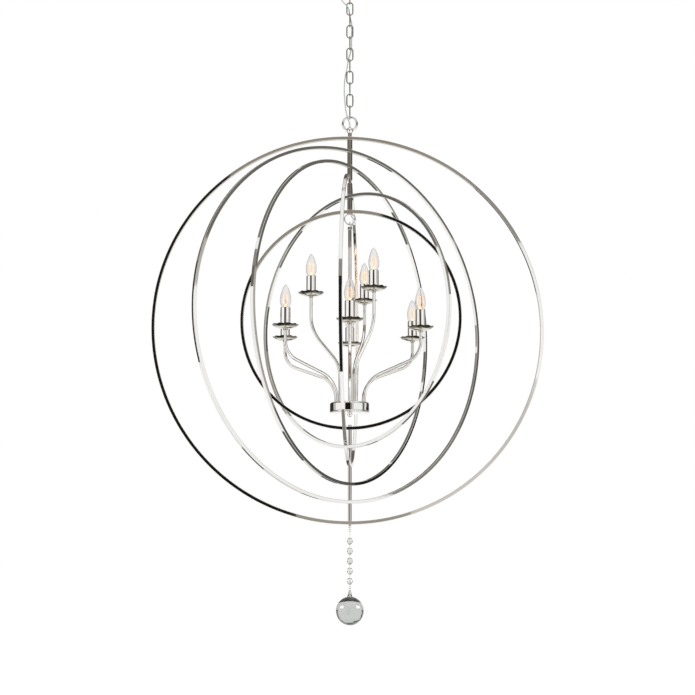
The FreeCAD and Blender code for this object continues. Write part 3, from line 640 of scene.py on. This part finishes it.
# pendant; a bead's levels are (share of the radius, share of the height)
pendantSettings = {"jump": 4.0, "jumpWire": 0.8, "wire": 0.7, "eye": 3.4, "overlap": 0.7}
beadSettings = {
    "radius": 9.2, "height": 20.5, "count": 5, "facets": 8,
    "levels": (
        (0.2, 0.5), (0.56, 0.44), (0.86, 0.28), (1.0, 0.08), (0.98, -0.11), (0.80, -0.29), (0.50, -0.43),
        (0.14, -0.5),
    ),
}
ballSettings = {
    "radius": 42.0, "eye": 3.0, "cap": 8.0, "capSide": 1.4, "capWaist": 5.6, "capWaistHeight": 7.0,
    "capTip": 3.0, "capCorner": 1.0,
}
wire = pendantSettings["wire"]
jumpRing = ringPiece(
    "jump_ring_wire", "jump_ring", "jump_ring", pendantSettings["jump"], pendantSettings["jumpWire"],
    sum(span("jump_ring")) / 2, False,
)
stringLow, stringHigh = span("bead_string")
eyeReach = pendantSettings["eye"] + wire
topEye, lowEye = (
    ringPiece(name, "bead_string", "bead_string", pendantSettings["eye"], wire, height, True)
    for name, height in (("string_top_eye", stringHigh - eyeReach), ("string_low_eye", stringLow + eyeReach))
)
wireLow = stringLow + 2 * eyeReach - pendantSettings["overlap"]
wireHigh = stringHigh - 2 * eyeReach + pendantSettings["overlap"]
stringWire = turnedPiece("string_wire", "bead_string", "bead_string", [
    [(0.0, wireLow), (wire, wireLow), (wire, wireHigh), (0.0, wireHigh)]
], sides=16)


# facet rings r = R share, z = centre + H share, each turned half a facet from the one before
def beadGrid(height):
    levels = np.array(beadSettings["levels"])
    facets = beadSettings["facets"]
    angle = 2 * np.pi * (np.arange(facets)[None] + 0.5 * (np.arange(len(levels))[:, None] % 2)) / facets
    radius = beadSettings["radius"] * levels[:, :1]
    rise = height + beadSettings["height"] * levels[:, 1:] + 0 * angle
    return np.stack([radius * np.cos(angle) * mm, radius * np.sin(angle) * mm, drop(rise)], -1)


# triangles between facet rings that stand half a facet apart, and a small flat at each end
def beadFaces(start):
    facets = beadSettings["facets"]
    index = np.arange(len(beadSettings["levels"]) * facets).reshape(-1, facets) + start
    faces = []
    for row, (a, b) in enumerate(zip(index, index[1:])):
        nextA, nextB = np.roll(a, -1), np.roll(b, -1)
        pair = ((a, nextB, b), (a, nextA, nextB)) if row % 2 else ((a, nextA, b), (b, nextA, nextB))
        for triangle in pair:
            faces += np.stack(triangle, 1).tolist()
    return faces + [index[0].tolist(), index[-1].tolist()]


beadLow, beadHigh = span("beads")
halfBead = beadSettings["height"] / 2
beadCentres = np.linspace(beadLow + halfBead, beadHigh - halfBead, beadSettings["count"])
beadCorners = np.vstack([beadGrid(centre).reshape(-1, 3) for centre in beadCentres])
beadSize = beadSettings["facets"] * len(beadSettings["levels"])
beadList = [face for start in range(0, len(beadCorners), beadSize) for face in beadFaces(start)]
beads = meshPiece("beads_cut", "beads", "bead_string", beadCorners, beadList, 0)

ballRadius = ballSettings["radius"]
cap = ballSettings["cap"]
ballCentre = span("glass_ball")[0] + ballRadius
coneLow = ballCentre + math.sqrt(ballRadius**2 - cap**2)
capEye = span("glass_cap")[1] - ballSettings["eye"] - wire
coneHigh = capEye - ballSettings["eye"] + wire
ballCap = turnedPiece("ball_cap_cone", "glass_cap", "glass_ball", [roundedProfile([
    (0.0, coneLow), (cap, coneLow), (cap, coneLow + ballSettings["capSide"]),
    (ballSettings["capWaist"], coneLow + ballSettings["capWaistHeight"]), (ballSettings["capTip"], coneHigh),
    (0.0, coneHigh),
], ballSettings["capCorner"])])
ballEye = ringPiece("ball_cap_eye", "glass_cap", "glass_ball", ballSettings["eye"], wire, capEye, False)
seatAngle = math.degrees(math.asin(cap / ballRadius))
ballSkin = np.vstack([[(0.0, coneLow)], arcProfile(ballRadius, ballCentre, seatAngle, 180, steps=72)])
glassBall = turnedPiece(
    "glass_ball_clear", "glass_ball", "glass_ball", [ballSkin], sides=128, slot="cut_crystal", sharp=80,
)
print("pendant made")

# finishes


# a material, its node tree, its shader and the Object coordinates
def nodesFor(name):
    material = bpy.data.materials.new(name)
    material.use_nodes = True
    tree = material.node_tree
    shader = tree.nodes["Principled BSDF"]
    coordinates = tree.nodes.new("ShaderNodeTexCoord")
    return material, tree, shader, coordinates.outputs["Object"]


# noise of the given scale per metre over Object coordinates, drawn out along an axis by the stretch
def noise(tree, where, scale, detail=3.0, stretch=(1.0, 1.0, 1.0)):
    mapping = tree.nodes.new("ShaderNodeMapping")
    mapping.inputs["Scale"].default_value = stretch
    tree.links.new(where, mapping.inputs["Vector"])
    texture = tree.nodes.new("ShaderNodeTexNoise")
    texture.inputs["Scale"].default_value = scale
    texture.inputs["Detail"].default_value = detail
    tree.links.new(mapping.outputs["Vector"], texture.inputs["Vector"])
    return texture.outputs["Fac"]


# colours at their places along the value, blended between
def ramp(tree, value, stops):
    blend = tree.nodes.new("ShaderNodeValToRGB")
    elements = blend.color_ramp.elements
    while len(elements) < len(stops):
        elements.new(0.5)
    for element, (place, colour) in zip(elements, stops):
        element.position = place
        element.color = (*colour, 1.0)
    tree.links.new(value, blend.inputs["Fac"])
    return blend.outputs["Color"]


# a value from start to end mapped onto low to high; most noise lies between 0.3 and 0.7
def spread(tree, value, low, high, start=0.3, end=0.7, clamp=True):
    node = tree.nodes.new("ShaderNodeMapRange")
    node.clamp = clamp
    for key, number in (("From Min", start), ("From Max", end), ("To Min", low), ("To Max", high)):
        node.inputs[key].default_value = number
    tree.links.new(value, node.inputs["Value"])
    return node.outputs["Result"]


# the operation on its inputs in order, each a socket or a number
def mathNode(tree, operation, *inputs):
    node = tree.nodes.new("ShaderNodeMath")
    node.operation = operation
    for socket, value in zip(node.inputs, inputs):
        if isinstance(value, bpy.types.NodeSocket):
            tree.links.new(value, socket)
        else:
            socket.default_value = value
    return node.outputs[0]


# height of the given depth in metres, added to the shader's normal
def bump(tree, shader, value, depth):
    node = tree.nodes.new("ShaderNodeBump")
    node.inputs["Strength"].default_value = 0.5
    node.inputs["Distance"].default_value = depth
    tree.links.new(value, node.inputs["Height"])
    tree.links.new(node.outputs["Normal"], shader.inputs["Normal"])


# the colour and the roughness joined to a shader
def dress(tree, shader, colour, rough):
    tree.links.new(colour, shader.inputs["Base Color"])
    tree.links.new(rough, shader.inputs["Roughness"])


# metal with faint cloudy toning, tinted with painted reflection bands by how far it turns away, with fine
# polish marks and a slight ripple
def metalFinish(name, light, dark, rough, scale, ripple, facing=(), stretch=(1.0, 1.0, 1.0)):
    material, tree, shader, where = nodesFor(name)
    shader.inputs["Metallic"].default_value = 1.0
    cloud = noise(tree, where, scale, 4.0, stretch)
    fine = noise(tree, where, scale * 22.0, 2.0, stretch)
    colour = ramp(tree, cloud, ((0.3, dark), (0.7, light)))
    # painted reflection: the facing stops multiply dark bands into the colour by how far the surface turns
    # from the view
    if facing:
        turned = tree.nodes.new("ShaderNodeLayerWeight")
        paintedReflection = tree.nodes.new("ShaderNodeMix")
        paintedReflection.data_type = "RGBA"
        paintedReflection.blend_type = "MULTIPLY"
        paintedReflection.inputs["Factor"].default_value = 1.0
        tree.links.new(colour, paintedReflection.inputs[6])
        tree.links.new(ramp(tree, turned.outputs["Facing"], facing), paintedReflection.inputs[7])
        colour = paintedReflection.outputs[2]
    dress(tree, shader, colour, spread(tree, fine, *rough))
    bump(tree, shader, fine, ripple)
    return material


# nickel with a painted reflection that deepens up the dish and pales again at the rim: share = fract((z -
# start) / tier step)
# + cloud, alike on both tiers, with the start a quarter of the dish's depth below the seat
def panFinish():
    lowRim, highRim = (armTiers[tier]["rim"] for tier in ("lower", "upper"))
    seat = drop(hubHigh + lowRim - panSettings["depth"])
    step = (highRim - lowRim) * mm
    rim = panSettings["depth"] * mm / step
    material, tree, shader, where = nodesFor("pan_nickel")
    shader.inputs["Metallic"].default_value = 1.0
    parts = tree.nodes.new("ShaderNodeSeparateXYZ")
    tree.links.new(where, parts.inputs["Vector"])
    start = seat - rim * step / 4
    tiers = spread(tree, parts.outputs["Z"], 0.0, 1.0, start, start + step, clamp=False)
    share = mathNode(tree, "FRACT", tiers)
    cloud = mathNode(tree, "MULTIPLY_ADD", noise(tree, where, 55.0, 2.0), rim * 0.5, share)
    # painted reflection: pale at the seat, near black up the dish, paler again at the rim
    colours = ramp(tree, cloud, (
        (rim * 0.75, (0.66, 0.64, 0.57)), (rim * 0.95, (0.22, 0.205, 0.17)),
        (rim * 1.35, (0.06, 0.055, 0.042)), (rim * 1.62, (0.4, 0.38, 0.32)),
    ))
    dress(tree, shader, colours, spread(tree, noise(tree, where, 300.0, 2.0), 0.04, 0.1))
    return material


# clear glass or crystal with a faint unevenness of tint and polish
def glassFinish(name, light, dark, index, rough=(0.0, 0.02), scale=30.0):
    material, tree, shader, where = nodesFor(name)
    shader.inputs["Transmission Weight"].default_value = 1.0
    shader.inputs["IOR"].default_value = index
    cloud = noise(tree, where, scale, 2.0)
    dress(tree, shader, ramp(tree, cloud, ((0.3, dark), (0.7, light))), spread(tree, cloud, *rough))
    return material


# moulded or drawn plastic with a faint mottle
def plasticFinish(name, light, dark, rough, scale=60.0, ripple=3e-5):
    material, tree, shader, where = nodesFor(name)
    fine = noise(tree, where, scale, 4.0)
    dress(tree, shader, ramp(tree, fine, ((0.3, dark), (0.7, light))), spread(tree, fine, *rough))
    bump(tree, shader, fine, ripple)
    return material


# the facing stops stand for the dark things that a real room reflects, at the edges of a tube and, on the
# sleeves and the stem, also along the middle
white = (1.0, 1.0, 1.0)
chromeHoop = metalFinish(
    "chrome_hoop", (0.89, 0.88, 0.86), (0.81, 0.8, 0.78), (0.02, 0.05), 3.0, 8e-6,
    facing=((0.0, white), (0.5, white), (0.78, (0.5, 0.48, 0.46)), (1.0, (0.3, 0.29, 0.28))),
)
chromeBright = metalFinish("chrome_bright", (0.9, 0.89, 0.87), (0.84, 0.83, 0.81), (0.01, 0.03), 14.0, 4e-6)
chromeTube = metalFinish(
    "chrome_tube", (0.86, 0.83, 0.79), (0.77, 0.74, 0.7), (0.015, 0.04), 10.0, 4e-6, stretch=(1.0, 1.0, 0.2),
)
chromeArm = metalFinish(
    "chrome_arm", (0.97, 0.95, 0.92), (0.9, 0.88, 0.84), (0.015, 0.04), 10.0, 4e-6,
    facing=((0.0, white), (0.28, white), (0.52, (0.4, 0.34, 0.29)), (1.0, (0.28, 0.24, 0.2))),
)
chromeSleeve = metalFinish(
    "chrome_sleeve", (0.95, 0.94, 0.92), (0.89, 0.88, 0.86), (0.01, 0.03), 14.0, 4e-6,
    facing=((0.0, (0.3, 0.25, 0.21)), (0.022, (0.36, 0.3, 0.26)), (0.05, white), (0.35, white),
            (0.5, (0.42, 0.37, 0.33)), (1.0, (0.5, 0.45, 0.4))),
)
chromeStem = metalFinish(
    "chrome_stem", (0.95, 0.93, 0.9), (0.88, 0.86, 0.83), (0.015, 0.04), 10.0, 4e-6,
    facing=((0.0, (0.16, 0.145, 0.13)), (0.05, (0.2, 0.18, 0.16)), (0.08, white), (0.2, white),
            (0.32, (0.24, 0.21, 0.19)), (1.0, (0.16, 0.14, 0.13))),
)
panNickel = panFinish()
chainNickel = metalFinish("chain_nickel", (0.44, 0.405, 0.36), (0.31, 0.285, 0.25), (0.18, 0.32), 60.0, 6e-5)
zincSteel = metalFinish("zinc_steel", (0.78, 0.78, 0.76), (0.6, 0.61, 0.6), (0.25, 0.42), 80.0, 4e-5)
brassBase = metalFinish("brass_base", (0.8, 0.66, 0.38), (0.62, 0.5, 0.27), (0.18, 0.32), 120.0, 2e-5)
bulbGlass = glassFinish("bulb_clear_glass", (0.925, 0.91, 0.895), (0.885, 0.87, 0.855), 1.47)
crystal = glassFinish("cut_crystal", (0.86, 0.87, 0.86), (0.72, 0.73, 0.72), 1.54)
ballGlass = glassFinish("ball_glass", (0.575, 0.585, 0.57), (0.53, 0.54, 0.525), 1.5, scale=12.0)
bushingClear = plasticFinish("bushing_clear", (0.9, 0.91, 0.9), (0.8, 0.81, 0.8), (0.12, 0.2))
wireWhite = plasticFinish("wire_white", (0.9, 0.9, 0.88), (0.82, 0.82, 0.8), (0.35, 0.5))
socketBlack = plasticFinish("socket_black", (0.06, 0.06, 0.058), (0.03, 0.03, 0.03), (0.35, 0.5))


# clear jacket over two laid wires: a wave along the cord gives the light and dark of the lay
def cordFinish():
    material, tree, shader, where = nodesFor("cord_clear")
    wave = tree.nodes.new("ShaderNodeTexWave")
    wave.wave_type = "BANDS"
    wave.bands_direction = "Z"
    wave.inputs["Scale"].default_value = 60.0
    wave.inputs["Distortion"].default_value = 1.5
    tree.links.new(where, wave.inputs["Vector"])
    colours = ramp(tree, wave.outputs["Fac"], ((0.2, (0.5, 0.57, 0.57)), (0.8, (0.68, 0.75, 0.75))))
    shader.inputs["Transmission Weight"].default_value = 0.2
    shader.inputs["IOR"].default_value = 1.49
    dress(tree, shader, colours, spread(tree, noise(tree, where, 200.0), 0.12, 0.22))
    return material


# lit glass: the glow runs from pale to warm with the noise
def filamentFinish(name, warm, pale, strength):
    material, tree, shader, where = nodesFor(name)
    cloud = noise(tree, where, 140.0)
    colours = ramp(tree, cloud, ((0.35, warm), (0.65, pale)))
    tree.links.new(colours, shader.inputs["Base Color"])
    tree.links.new(colours, shader.inputs["Emission Color"])
    shader.inputs["Emission Strength"].default_value = strength
    shader.inputs["Roughness"].default_value = 0.4
    return material


cordClear = cordFinish()
stemGlow = filamentFinish("filament_stem_glow", (1.0, 0.8, 0.58), (1.0, 0.93, 0.85), 1.0)
stripGlow = filamentFinish("filament_strip_glow", (1.0, 0.5, 0.2), (1.0, 0.8, 0.52), 1.1)

finishes = {
    chromeHoop: hoops,
    chromeBright: [canopyShell, hubCover, finial],
    chromeArm: [*armPieces, stemBall, hangLoop, hangRing, clusterEye],
    chromeStem: [stemTubes, lowerTubes],
    chromeSleeve: [sleeves],
    chromeTube: [
        centreTube, hangBoss, clusterCollar, lowerCap, footCone, footRing, jumpRing, topEye, lowEye,
        stringWire, ballCap, ballEye, hubBase,
    ],
    panNickel: [pans, panNuts],
    chainNickel: links,
    bulbGlass: [bulbs],
    crystal: [beads],
    ballGlass: [glassBall],
    cordClear: [lampCord, clusterLead],
    stemGlow: [glassStems],
    stripGlow: [strips],
}
cadFinishes = {
    zincSteel: [
        "mounting_strap", "canopy_nipple", "canopy_locknut", "stem_rod", "lower_rod", "hub_nut", "arm_nuts",
        "light_nipples",
    ],
    chromeBright: ["canopy_collar", "canopy_loop"],
    bushingClear: ["cord_bushing"],
    wireWhite: ["arm_wires"],
    socketBlack: ["sockets"],
    brassBase: ["bulb_bases"],
}
for material, pieces in finishes.items():
    for piece in pieces:
        piece.data.materials.append(material)
for material, nodes in cadFinishes.items():
    for node in nodes:
        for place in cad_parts[node].material_slots:
            place.link = "OBJECT"
            place.material = material
print("finishes given")

# room: pale floor, white surround, soft lamps and the panels that polished metal needs around it
roomSettings = {
    "floor": -2.95, "size": 40.0, "surround": 1.0, "fill": 0.62, "floorGlow": 1.05, "floorShare": 0.92,
    "aim": (0.0, 0.0, -1.2),
}


# 1 for camera, glossy and transmission rays, else 0
def eyeRays(tree):
    path = tree.nodes.new("ShaderNodeLightPath")
    seen = mathNode(tree, "MAXIMUM", path.outputs["Is Camera Ray"], path.outputs["Is Glossy Ray"])
    return mathNode(tree, "MAXIMUM", seen, path.outputs["Is Transmission Ray"])


world = bpy.data.worlds.new("studio")
scene.world = world
world.use_nodes = True
worldTree = world.node_tree
surround = worldTree.nodes["Background"]
surround.inputs["Color"].default_value = (1.0, 1.0, 1.0, 1.0)
strength = spread(worldTree, eyeRays(worldTree), roomSettings["fill"], roomSettings["surround"], 0.0, 1.0)
worldTree.links.new(strength, surround.inputs["Strength"])

floorData = bpy.data.meshes.new("floor")
reach = roomSettings["size"] / 2
square = ((-1, -1), (1, -1), (1, 1), (-1, 1))
floorCorners = [(reach * x, reach * y, roomSettings["floor"]) for x, y in square]
floorData.from_pydata(floorCorners, [], [(0, 1, 2, 3)])
floor = placed("floor", floorData)
floorMaterial, floorTree, floorShader = nodesFor("floor_pale")[:3]
floorShader.inputs["Base Color"].default_value = (0.9, 0.9, 0.9, 1.0)
floorShader.inputs["Roughness"].default_value = 0.9
glow = floorTree.nodes.new("ShaderNodeEmission")
glow.inputs["Strength"].default_value = roomSettings["floorGlow"]
mixer = floorTree.nodes.new("ShaderNodeMixShader")
share = mathNode(floorTree, "MULTIPLY", eyeRays(floorTree), roomSettings["floorShare"])
floorTree.links.new(share, mixer.inputs["Fac"])
floorTree.links.new(floorShader.outputs["BSDF"], mixer.inputs[1])
floorTree.links.new(glow.outputs["Emission"], mixer.inputs[2])
floorTree.links.new(mixer.outputs["Shader"], floorTree.nodes["Material Output"].inputs["Surface"])
floorData.materials.append(floorMaterial)


# a soft rectangle that points at the aim; mirrors and glass don't see it, as it would leave a white spot
def lamp(name, place, size, watts):
    data = bpy.data.lights.new(name, "AREA")
    data.shape = "RECTANGLE"
    data.size, data.size_y = size
    data.energy = watts
    item = placed(name, data)
    item.location = place
    direction = Vector(roomSettings["aim"]) - Vector(place)
    item.rotation_euler = direction.to_track_quat("-Z", "Y").to_euler()
    item.visible_glossy = False
    item.visible_transmission = False


lamp("key_soft", (-3.2, -3.6, 1.6), (1.6, 1.6), 90.0)
lamp("fill_soft", (3.6, -2.4, 0.4), (2.0, 2.0), 50.0)
lamp("back_soft", (0.8, 4.0, 1.0), (2.0, 1.2), 40.0)

# glowing panels that only reflections and refractions see; azimuth 0 is behind the camera
panelSettings = {
    "reach": 8.0, "floorGap": 0.04, "step": 6.0, "pale": 1.2,
    "nearer": {"panel_behind_tall": 0.1, "panel_round": -0.2, "panel_rim_left": 0.2, "panel_rim_right": 0.2},
    "throughGlass": ("panel_left_back", "panel_left_high", "panel_right_high", "panel_right_top"),
    "throughGlassOnly": (
        "panel_rim_left", "panel_rim_right", "panel_far_high", "mat_near", "mat_window_left",
        "mat_window_right",
    ),
}
# name, azimuth and rise in degrees seen from the orb's centre, tone
skyPanels = (
    ("panel_behind", (-27.0, 4.0), (-26.0, 13.5), (0.01, 0.009, 0.008)),
    ("panel_behind_tall", (-10.5, -1.5), (13.0, 23.0), (0.012, 0.011, 0.01)),
    ("panel_behind_high", (-26.0, 15.0), (13.5, 27.0), (0.28, 0.25, 0.205)),
    ("panel_behind_low", (4.0, 12.5), (-9.0, 5.0), (0.34, 0.31, 0.26)),
    ("panel_behind_pale", (12.5, 22.0), (-9.0, 5.5), (0.6, 0.58, 0.54)),
    ("panel_left", (-163.0, -106.0), (-11.0, 24.0), (0.03, 0.03, 0.028)),
    ("panel_left_back", (-166.0, -106.0), (24.0, 42.0), (0.19, 0.18, 0.155)),
    ("panel_left_high", (-166.0, -64.0), (42.0, 74.0), (0.18, 0.17, 0.15)),
    ("panel_left_side", (-100.0, -50.0), (15.5, 27.0), (0.14, 0.135, 0.12)),
    ("panel_left_edge", (-101.0, -90.5), (3.0, 15.5), (0.34, 0.32, 0.29)),
    ("panel_right_side", (40.0, 84.0), (16.0, 27.0), (0.14, 0.135, 0.12)),
    ("panel_right_pale", (77.0, 84.0), (-3.0, 12.5), (0.22, 0.21, 0.185)),
    ("panel_right_dusk", (58.0, 84.0), (12.5, 16.0), (0.46, 0.445, 0.41)),
    ("panel_right_edge", (84.0, 93.0), (-9.0, 42.0), (0.1, 0.095, 0.085)),
    ("panel_right_low", (104.0, 116.5), (-9.0, 3.5), (0.1, 0.098, 0.09)),
    ("panel_right_mid", (104.0, 116.5), (3.5, 14.0), (0.37, 0.355, 0.32)),
    ("panel_right_top", (104.0, 117.0), (14.0, 27.0), (0.13, 0.125, 0.11)),
    ("panel_right_back", (116.5, 141.0), (-9.0, 15.5), (0.012, 0.012, 0.011)),
    ("panel_right_high", (100.0, 150.0), (27.0, 62.0), (0.22, 0.21, 0.18)),
    ("panel_far", (-192.0, -168.0), (24.0, 50.0), (0.16, 0.15, 0.13)),
    ("panel_round", (0.0, 360.0), (15.5, 36.0), (0.27, 0.255, 0.225)),
    ("panel_rim_left", (-134.0, -106.0), (-12.0, 24.0), (0.05, 0.048, 0.044)),
    ("panel_rim_right", (106.0, 134.0), (-12.0, 27.0), (0.05, 0.048, 0.044)),
    ("panel_far_high", (150.0, 194.0), (34.0, 74.0), (0.2, 0.19, 0.165)),
)
# name, azimuth in degrees, distance in metres from the axis, tone
floorPanels = (
    ("mat_behind", (-27.0, 4.0), (1.8, 7.8), (0.012, 0.011, 0.01)),
    ("mat_under", (0.0, 360.0), (0.02, 0.6), (0.24, 0.225, 0.195)),
    ("mat_near", (-250.0, -110.0), (0.2, 1.3), (0.04, 0.038, 0.034)),
    ("mat_window_left", (-161.0, -145.0), (2.4, 4.2), (1.7, 1.7, 1.7)),
    ("mat_window_right", (145.0, 161.0), (2.4, 4.2), (1.7, 1.7, 1.7)),
    ("mat_left", (-145.0, -98.0), (0.3, 2.2), (0.12, 0.115, 0.1)),
    ("mat_right", (104.0, 145.0), (0.3, 2.6), (0.17, 0.165, 0.145)),
    ("mat_far", (-190.0, -168.0), (2.0, 4.5), (0.11, 0.105, 0.095)),
)


# glow of the given tone, clouded with noise up to a paler one
def panelFinish(name, tone):
    material, tree, _, where = nodesFor(name)
    pale = tuple(panelSettings["pale"] * part for part in tone)
    colours = ramp(tree, noise(tree, where, 1.2), ((0.3, tone), (0.7, pale)))
    glowing = tree.nodes.new("ShaderNodeEmission")
    tree.links.new(colours, glowing.inputs["Color"])
    tree.links.new(glowing.outputs["Emission"], tree.nodes["Material Output"].inputs["Surface"])
    return material


# one sheet over a (row, column) grid of points, out of sight of the camera and casting nothing
def panel(name, tone, places):
    rows, columns = places.shape[:2]
    quads = gridQuads(np.arange(rows * columns).reshape(rows, columns))
    data = bpy.data.meshes.new(name)
    data.from_pydata(places.reshape(-1, 3).tolist(), [], quads.tolist())
    data.materials.append(panelFinish(name, tone))
    item = placed(name, data)
    item.visible_camera = False
    item.visible_diffuse = False
    item.visible_shadow = False
    item.visible_glossy = name not in panelSettings["throughGlassOnly"]
    item.visible_transmission = name in panelSettings["throughGlass"] + panelSettings["throughGlassOnly"]


# angles from low to high, about one step apart
def steps(low, high):
    return np.radians(np.linspace(low, high, max(2, round((high - low) / panelSettings["step"]) + 1)))


for name, azimuth, rises, tone in skyPanels:
    # R (cos e sin a, -cos e cos a, sin e) about the orb's centre
    turn = steps(*azimuth)[None]
    rise = steps(*rises)[:, None]
    flat = np.cos(rise)
    places = np.stack([flat * np.sin(turn), -flat * np.cos(turn), np.sin(rise) + 0 * turn], -1)
    reach = panelSettings["reach"] - panelSettings["nearer"].get(name, 0.0)
    panel(name, tone, places * reach + [0, 0, orbHeight])
for name, azimuth, reaches, tone in floorPanels:
    # (d sin a, -d cos a) just above the floor
    turn = steps(*azimuth)[None]
    far = np.linspace(*reaches, 3)[:, None]
    level = 0 * far * turn + roomSettings["floor"] + panelSettings["floorGap"]
    panel(name, tone, np.stack([far * np.sin(turn), -far * np.cos(turn), level], -1))
print("room lit")
